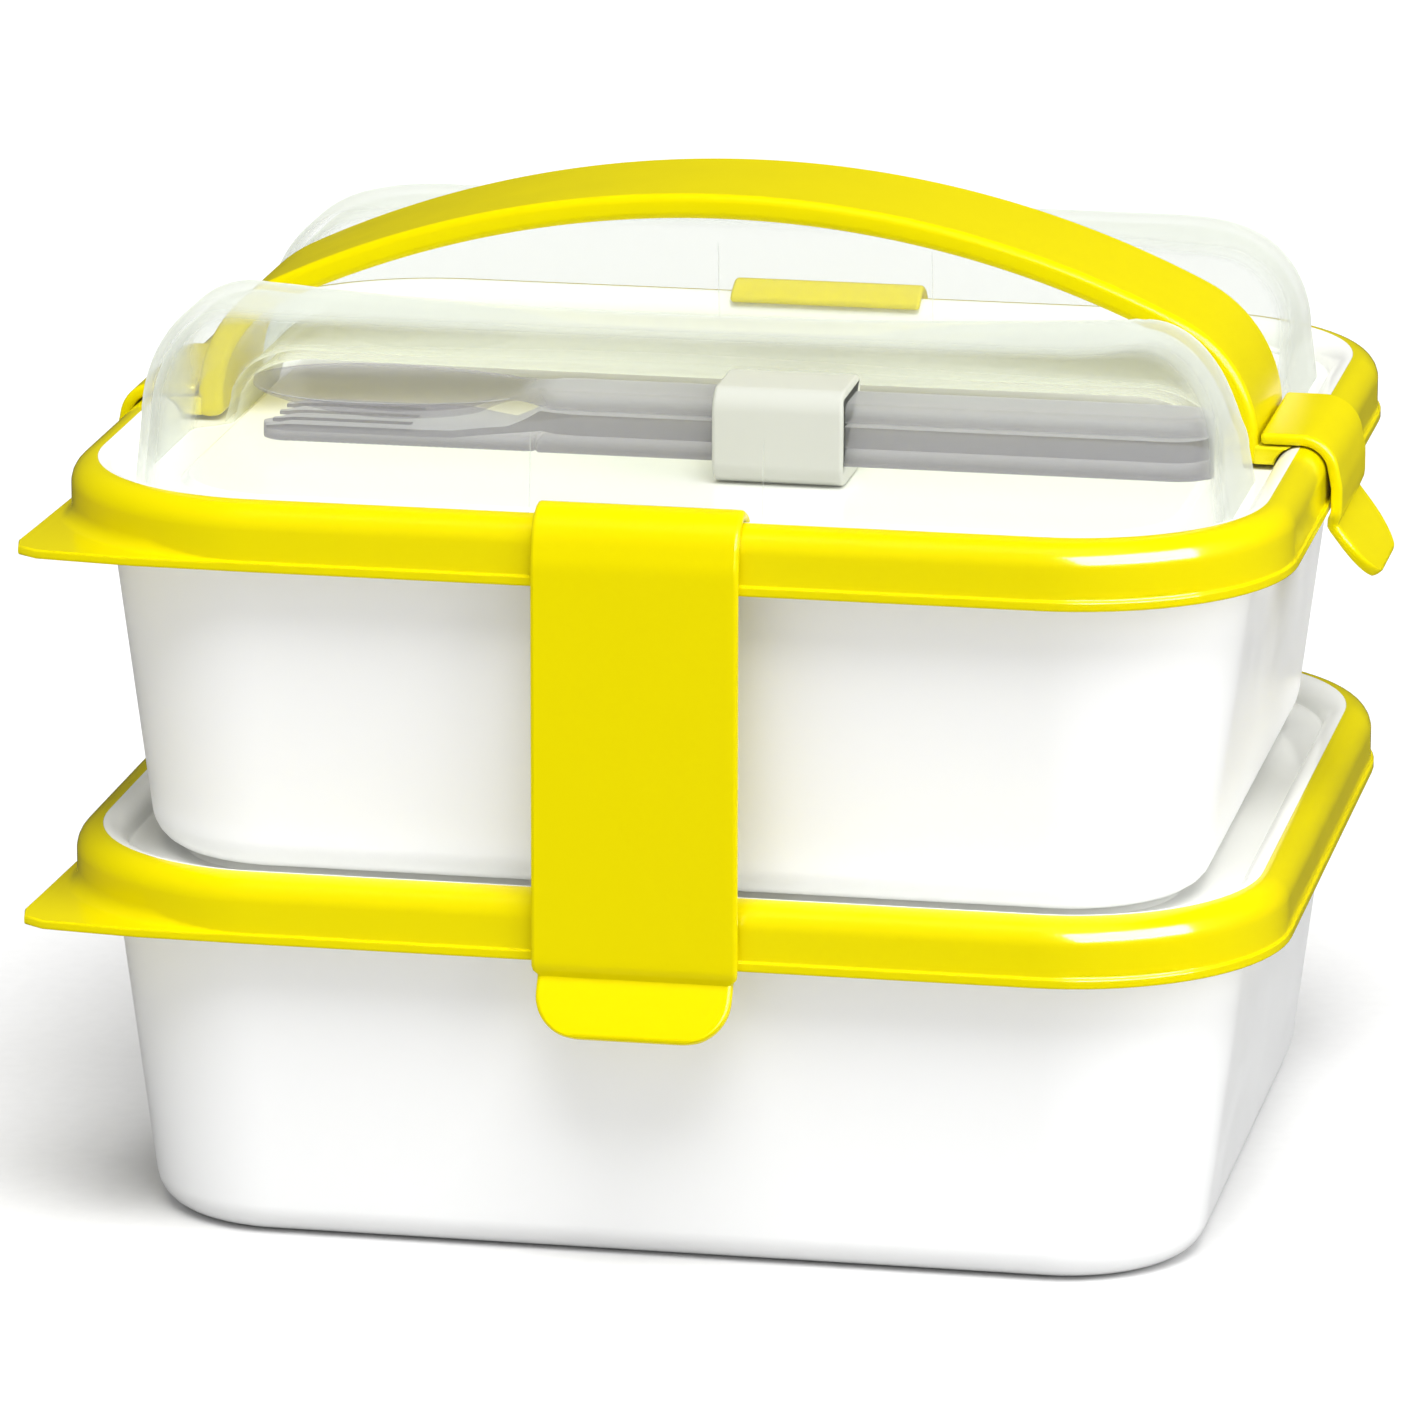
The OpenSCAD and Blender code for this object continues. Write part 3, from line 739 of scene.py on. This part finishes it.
def handle_latch(name, node, body, side):
    """A strap from the handle's leg over the rim that snaps under the lip, with a finger tab."""
    start = LEG_OUT - CX - BEAD_S + 0.4
    corners = (
        [(start, HOOK_MID, None)]
        + plain(arc(0, 0, HOOK_MID, 90, 6, 20))
        + [(STRAP_MID, -2.5, 2.0), (STRAP_MID, -SKIRT + 0.2, 1.4), (LIP_OUT + 0.45, -SKIRT - 2.15, 1.25),
           (LIP_OUT + 1.9, -SKIRT - 4.0, 2.0), (LIP_OUT + 8.4, -SKIRT - 12.5, None)])
    crease = -start + HOOK_MID * math.radians(84) + SKIRT + 1.0

    def half_width(cut, total):
        return LATCH_W / 2 - 0.9 * smooth((cut - crease) / 1.6)

    def place(point, across):
        return (side * (CX + BEAD_S + point.x), across, TOP_BEAD_Z + point.y)

    made = ribbon(fillet(corners, steps=6), half_width, STRAP_T, 0.85, place, tab_r=9)
    return make_piece(name, *made, STRAP_YELLOW, node, body, "handle_yellow")


def carrying_handle():
    """The arched band with a shoulder at each end and a leg down inside the rim."""
    band = 4.6
    edge = 1.5
    outer_r = 190
    shoulder_r = 25.2
    centre_z = HANDLE_HIGH.z - outer_r
    shoulder_x = LEG_OUT - shoulder_r
    lean = math.asin(shoulder_x / (outer_r - shoulder_r))
    shoulder_z = centre_z + (outer_r - shoulder_r) * math.cos(lean)
    start = 90 - math.degrees(lean)
    bend_r = shoulder_r - band / 2
    low = math.degrees(math.asin((HANDLE_LOW.z - shoulder_z) / bend_r))
    half = (arc(0, centre_z, outer_r - band / 2, 90, start, 50)[:-1]
            + arc(shoulder_x, shoulder_z, bend_r, start, low, 24))
    line = [(-x, z) for x, z in half[:0:-1]] + half

    def half_width(cut, total):
        return LATCH_W / 2

    def place(point, across):
        return (point.x, across, point.y)

    vertices, faces = ribbon(line, half_width, band, edge, place, spacing=1.6)
    for side in (-1, 1):
        extra, joins = leg_foot(side)
        faces += [[i + len(vertices) for i in face] for face in joins]
        vertices += extra
    return make_piece("handle_looks", vertices, faces, STRAP_YELLOW, "handle", "handle", "handle_yellow")


def leg_foot(side):
    """The foot that fills the trough between a leg and the bead, with soft ends."""
    edge = 0.8
    root = LEG_OUT - 1 - CX - BEAD_S
    low, high = HANDLE_LOW.z + 0.2 - TOP_BEAD_Z, HOOK_R - 0.3
    start = math.degrees(math.asin(high / HOOK_R))
    end = math.degrees(math.asin(low / HOOK_R))
    corners = [(root, low, 0.5), (root, high, 0.5)] + plain(arc(0, 0, HOOK_R, 180 - start, 180 - end, 10))
    outline = [Vector(p) for p in fillet(corners, steps=3)]
    middle = sum(outline, Vector((0, 0))) / len(outline)
    sections = []
    for across, shrink in ((-1, 0.25), (-0.6, 0.08), (0, 0), (0, 0), (0.6, 0.08), (1, 0.25)):
        y = (LATCH_W / 2 - edge) * (1 if len(sections) > 2 else -1) + across * edge
        loop = [middle + (p - middle) * (1 - shrink) for p in outline]
        sections.append([(side * (CX + BEAD_S + p.x), y, TOP_BEAD_Z + p.y) for p in loop])
    return loft(sections)


# ---------------------------------------------------------------- cutlery

BAR_HALF = (KNIFE_HIGH.y - KNIFE_LOW.y) / 2
BAR_END = SPOON_HIGH.x
NECK_HALF = 4.2
HEAD_T = 1.3


def flat_section(x, y, half_w, thickness, level):
    """Loop of a flat plastic section across X. level(v) is the middle height at v from -1 to 1."""
    steps = 14
    upper, lower = [], []
    for i in range(steps + 1):
        v = -math.cos(math.pi * i / steps)
        half_t = thickness / 2 * max(1 - abs(v) ** 7, 0.0) ** 0.5
        upper.append((x, y + half_w * v, level(v) + half_t))
        lower.append((x, y + half_w * v, level(v) - half_t))
    return upper + lower[-2:0:-1]


def bar_half(x, half):
    """Half width of a grip bar near its rounded end."""
    left = BAR_END - x
    if left >= half:
        return half
    return max(math.sqrt(max(half ** 2 - (half - left) ** 2, 0)), 0.3)


def spread(start, end, count):
    """Numbers from start to end, closer together near both ends."""
    return [start + (end - start) * (1 - math.cos(math.pi * i / count)) / 2 for i in range(count + 1)]


def bar_stations():
    """Places along a grip bar, close together round its end."""
    return ([NECK_X + 10 + i * 8 for i in range(13)]
            + [BAR_END - BAR_HALF * (1 - math.sin(math.radians(9 * k))) for k in range(11)])


def spoon():
    """Bowl with its hollow up, a short neck and the grip bar."""
    half_l = HEAD_L / 2 + 0.75
    middle = SPOON_LOW.x + half_l
    top = SPOON_HIGH.z
    depth = 5
    bowl_half = 15.5
    taper = 0.16
    xs = spread(middle - half_l, middle + half_l * 0.8, 34) + [NECK_X - 5 + 1.2 * i for i in range(12)]
    xs = sorted(set(round(x, 3) for x in xs + [x for x in bar_stations() if x > NECK_X + 9]))
    sections = []
    for x in xs:
        q = (x - middle) / half_l
        hollow = max(1 - q * q, 0.0)
        bowl = bowl_half * math.sqrt(hollow) * (1 - taper * q)
        neck = (NECK_HALF * smooth((x - NECK_X + 22) / 12)
                + (BAR_HALF - NECK_HALF) * smooth((x - NECK_X + 1) / 6))
        half = max((max(bowl, 0) ** 4 + neck ** 4) ** 0.25, 0.35)
        half = min(half, bar_half(x, BAR_HALF)) if x > NECK_X + 8 else half
        thickness = HEAD_T + (BAR_T - HEAD_T) * smooth((x - NECK_X + 4) / 6)
        crest = top - 0.8 * (1 - smooth((x - NECK_X + 6) / 8))
        well = depth * hollow * (1 - smooth((x - NECK_X + 12) / 12))
        sections.append(flat_section(
            x, CUTLERY_Y, half, thickness,
            lambda v, crest=crest, well=well, t=thickness: crest - t / 2 - well * (1 - v * v)))
    return make_piece("spoon_looks", *loft(sections), SPOON_SMOKE, "spoon", "cutlery", "smoked_plastic", 60)


def fork():
    """Four tines on a head that dips under the spoon's bowl, then the grip bar."""
    pitch, tine = 5.6, 3.2
    root = NECK_X - 22
    tip = FORK_LOW.x
    head_low = FORK_LOW.z
    xs = ([tip + d for d in (0, 0.6, 1.6, 4, 8, 12, 16)] + [root - 2, root, root + 3, root + 8, root + 13]
          + [NECK_X - 5, NECK_X - 2, NECK_X + 1, NECK_X + 4, NECK_X + 8] + bar_stations())
    rows = []
    for x in sorted(xs):
        point = smooth((x - tip) / 5)
        head = pitch * 1.5 + tine / 2
        wide = (head + (NECK_HALF - head) * smooth((x - root - 6) / 12)
                + (BAR_HALF - NECK_HALF) * smooth((x - NECK_X) / 6))
        wide = min(wide, bar_half(x, BAR_HALF)) if x > NECK_X + 8 else wide
        share = wide / head
        edges = []
        for i in range(4):
            centre = (i - 1.5) * pitch * share
            half = tine / 2 * (0.4 + 0.6 * point) * share
            edges += [centre - half, centre + half]
        rise = smooth((x - NECK_X + 5) / 7)
        low = head_low + (FORK_HIGH.z - BAR_T - head_low) * rise
        thick = HEAD_T * (0.5 + 0.5 * point) + (BAR_T - HEAD_T) * rise
        rows.append((x, edges, low, low + thick, x < root + 0.01))
    vertices, faces = [], []
    for x, edges, low, high, _ in rows:
        vertices += [(x, CUTLERY_Y + e, high) for e in edges] + [(x, CUTLERY_Y + e, low) for e in edges]
    under = len(rows[0][1])
    columns = under - 1

    def cell(row, column):
        """Whether there is plastic: everywhere but in the gaps between the tines."""
        if row < 0 or row >= len(rows) - 1 or column < 0 or column >= columns:
            return False
        return column % 2 == 0 or not rows[row + 1][4]

    for row in range(len(rows) - 1):
        for column in range(columns):
            if not cell(row, column):
                continue
            a = row * 2 * under + column
            b = a + 2 * under
            c, d = a + under, b + under
            faces.append((a, a + 1, b + 1, b))
            faces.append((c, d, d + 1, c + 1))
            if not cell(row, column - 1):
                faces.append((a, b, d, c))
            if not cell(row, column + 1):
                faces.append((a + 1, c + 1, d + 1, b + 1))
            if not cell(row - 1, column):
                faces.append((a, c, c + 1, a + 1))
            if not cell(row + 1, column):
                faces.append((b, b + 1, d + 1, d))
    piece = make_piece("fork_looks", vertices, faces, SMOKE, "fork", "cutlery", "smoked_plastic")
    bevel = piece.modifiers.new("rounded_edges", "BEVEL")
    bevel.width = 0.4 * MM
    bevel.segments = 3
    bevel.limit_method = "ANGLE"
    bevel.angle_limit = math.radians(50)
    bevel.use_clamp_overlap = True
    return piece


def knife():
    """Serrated blade with a round tip, a notch at the neck and the grip bar."""
    blade_t = BAR_T - 0.9
    front = CUTLERY_Y - BAR_HALF + 0.5
    tip = KNIFE_LOW.x
    round_r = 5
    tooth = 1.3
    xs = [tip + 0.05 + round_r * (1 - math.cos(math.radians(9 * k))) for k in range(10)]
    xs += [tip + round_r + tooth / 2 * i for i in range(int((NECK_X - 1 - tip - round_r) / tooth * 2))]
    xs += [NECK_X + step for step in (-0.9, -0.5, 0, 0.5, 0.9, 2, 5)] + bar_stations()
    sections = []
    for index, x in enumerate(sorted(xs)):
        along = x - tip
        if x < NECK_X + 0.6:
            back = front + 2 * round_r + (13 - 2 * round_r) * smooth(along / HEAD_L)
            low_y = front + (0.35 if index % 2 and along > round_r else 0.0)
            if along < round_r:
                drop = round_r - math.sqrt(max(round_r ** 2 - (round_r - along) ** 2, 0))
                low_y, back = front + drop, front + 2 * round_r - drop
            low_y += 1.1 * (1 - smooth(abs(x - NECK_X) / 0.9))
            thickness = blade_t
        else:
            half = bar_half(x, BAR_HALF)
            low_y, back = CUTLERY_Y - half, CUTLERY_Y + half
            thickness = blade_t + (BAR_T - blade_t) * smooth((x - NECK_X - 0.6) / 1.2)
        level = KNIFE_LOW.z + thickness / 2
        sections.append(flat_section(x, (low_y + back) / 2, max((back - low_y) / 2, 0.2),
                                     thickness, lambda v, level=level: level))
    return make_piece("knife_looks", *loft(sections), SMOKE, "knife", "cutlery", "smoked_plastic", 60)


def cutlery_sleeve():
    """C-shaped sleeve with a slot along its back, soft edges at both ends."""
    wall, floor_t = 2.0, 3.2
    in_low, in_high = SLEEVE_LOW.z + floor_t, SLEEVE_HIGH.z - wall
    edge = 0.8

    def profile(x, inset):
        y0, y1 = SLEEVE_LOW.y + inset, SLEEVE_HIGH.y - inset
        z0, z1 = SLEEVE_LOW.z + inset, SLEEVE_HIGH.z - inset
        iy0, iy1 = SLEEVE_LOW.y + wall - inset, SLEEVE_HIGH.y - wall + inset
        iz0, iz1 = in_low - inset, in_high + inset
        lip0, lip1 = in_low + 3 - inset, in_high - 3 + inset
        corners = [(y1, lip1, 0.7), (y1, z1, 4), (y0, z1, 4), (y0, z0, 4), (y1, z0, 4), (y1, lip0, 0.7),
                   (iy1, lip0, 0.7), (iy1, iz0, 0.8), (iy0, iz0, 0.8), (iy0, iz1, 0.8),
                   (iy1, iz1, 0.8), (iy1, lip1, 0.7)]
        return [(x, y, z) for y, z in fillet(corners, steps=6)]

    turns = [math.radians(15 * k) for k in range(7)]
    sections = [profile(SLEEVE_LOW.x + edge * (1 - math.cos(a)), edge * (1 - math.sin(a))) for a in turns]
    sections += [profile(SLEEVE_HIGH.x - edge * (1 - math.cos(a)), edge * (1 - math.sin(a)))
                 for a in reversed(turns)]
    return make_piece("cutlery_sleeve_looks", *loft(sections), SLEEVE_WHITE,
                      "cutlery_sleeve", "sleeve", "sleeve_white")


# ---------------------------------------------------------------- studio

def studio_floor():
    """A wide floor of pale paper that is not mirrored in the object."""
    mesh = bpy.data.meshes.new("studio_floor")
    half = 12.0
    mesh.from_pydata([(-half, -half, 0), (half, -half, 0), (half, half, 0), (-half, half, 0)],
                     [], [(0, 1, 2, 3)])
    floor = bpy.data.objects.new("studio_floor", mesh)
    bpy.context.scene.collection.objects.link(floor)
    mesh.materials.append(floor_paper("studio_paper"))
    floor.visible_glossy = False


def toward(azimuth, elevation):
    """Direction from the object to a place round it. Azimuth 0 is in front and 90 on the right."""
    a, e = math.radians(azimuth), math.radians(elevation)
    return Vector((math.sin(a) * math.cos(e), -math.cos(a) * math.cos(e), math.sin(e)))


def softbox(name, azimuth, elevation, distance, width, height, power):
    """An area light that is seen only in reflections."""
    light = bpy.data.lights.new(name, "AREA")
    light.shape = "RECTANGLE"
    light.size, light.size_y = width, height
    light.energy = power
    lamp = bpy.data.objects.new(name, light)
    bpy.context.scene.collection.objects.link(lamp)
    back = toward(azimuth, elevation)
    lamp.location = Vector((0, 0, 0.1)) + back * distance
    lamp.rotation_euler = (-back).to_track_quat("-Z", "Y").to_euler()
    lamp.visible_camera = False
    lamp.visible_diffuse = False
    lamp.visible_transmission = False
    return lamp


def sun(name, azimuth, elevation, strength, softness):
    """Even light from one side, soft as a big window. It leaves no highlight of its own."""
    light = bpy.data.lights.new(name, "SUN")
    light.energy = strength
    light.angle = math.radians(softness)
    lamp = bpy.data.objects.new(name, light)
    bpy.context.scene.collection.objects.link(lamp)
    lamp.rotation_euler = (-toward(azimuth, elevation)).to_track_quat("-Z", "Y").to_euler()
    lamp.visible_glossy = False


def studio_world():
    """White all round, but dim as a light source and dark in reflections."""
    world = bpy.data.worlds.new("studio_world")
    bpy.context.scene.world = world
    world.use_nodes = True
    nodes, links = world.node_tree.nodes, world.node_tree.links
    backdrop = nodes["Background"]
    backdrop.inputs["Color"].default_value = (1, 1, 1, 1)
    paths = nodes.new("ShaderNodeLightPath")
    seen, lit, mirrored = 1.0, 0.3, 0.05
    strength = None
    for ray, change in (("Is Diffuse Ray", lit - seen), ("Is Glossy Ray", mirrored - seen)):
        term = nodes.new("ShaderNodeMath")
        term.operation = "MULTIPLY_ADD"
        links.new(paths.outputs[ray], term.inputs[0])
        term.inputs[1].default_value = change
        term.inputs[2].default_value = seen
        if strength is not None:
            links.new(strength, term.inputs[2])
        strength = term.outputs[0]
    links.new(strength, backdrop.inputs["Strength"])


# The most thin clear walls that a line of sight passes through.
THIN_WALLS = 32


def studio_light():
    """Soft light from above and both sides, and a highlight on the yellow pieces' rounded corners."""
    sun("overhead_light", 18, 66, 3.5, 40)
    sun("front_left_light", -35, 20, 0.3, 60)
    sun("right_light", 80, 18, 1.8, 60)
    highlight = softbox("corner_softbox", 44, 28, 1.1, 1.2, 0.7, 170)
    receivers = bpy.data.collections.new("highlight_receivers")
    for piece in bpy.data.objects:
        if piece.name.endswith("_looks") and piece.data.materials[0] in (RIM_YELLOW, STRAP_YELLOW):
            receivers.objects.link(piece)
    highlight.light_linking.receiver_collection = receivers
    bpy.context.scene.view_settings.view_transform = "Standard"
    bpy.context.scene.cycles.transparent_max_bounces = THIN_WALLS


def studio_camera():
    """The viewing angle and perspective that the object is seen in."""
    azimuth, elevation, roll = 10.72, 14.93, 0.15
    distance, aim = 1.7975, Vector((0, 0, 0.08))
    focal, image = 9816.9, 1417
    off_centre = 30.4
    data = bpy.data.cameras.new("studio_camera")
    data.sensor_width = 36
    data.lens = focal / image * data.sensor_width
    data.shift_x = -off_centre / image
    data.clip_start, data.clip_end = 0.05, 60
    camera = bpy.data.objects.new("studio_camera", data)
    bpy.context.scene.collection.objects.link(camera)
    back = toward(azimuth, elevation)
    camera.location = aim + back * distance
    facing = (-back).to_track_quat("-Z", "Y")
    camera.rotation_euler = (facing @ Euler((0, 0, math.radians(roll))).to_quaternion()).to_euler()
    bpy.context.scene.camera = camera


for tier, base in (("lower", 0.0), ("upper", TIER)):
    food_box(f"{tier}_box_looks", f"{tier}_box", f"{tier}_box", base)
    lid_frame(f"{tier}_lid_frame_looks", f"{tier}_lid_frame", f"{tier}_lid", base)
    lid_panel(f"{tier}_lid_panel_looks", f"{tier}_lid_panel", f"{tier}_lid", base)
    seal = frame["nodes"][f"{tier}_lid_seal"]
    seal.data.materials.clear()
    seal.data.materials.append(SEAL)
dome_cover()
carrying_handle()
handle_latch("handle_latch_left_looks", "handle_latch_left", "latch_left", -1)
handle_latch("handle_latch_right_looks", "handle_latch_right", "latch_right", 1)
stacking_clip("front_clip_looks", "front_clip", "front_clip", -1)
stacking_clip("rear_clip_looks", "rear_clip", "rear_clip", 1)
spoon()
fork()
knife()
cutlery_sleeve()
studio_floor()
studio_world()
studio_light()
studio_camera()
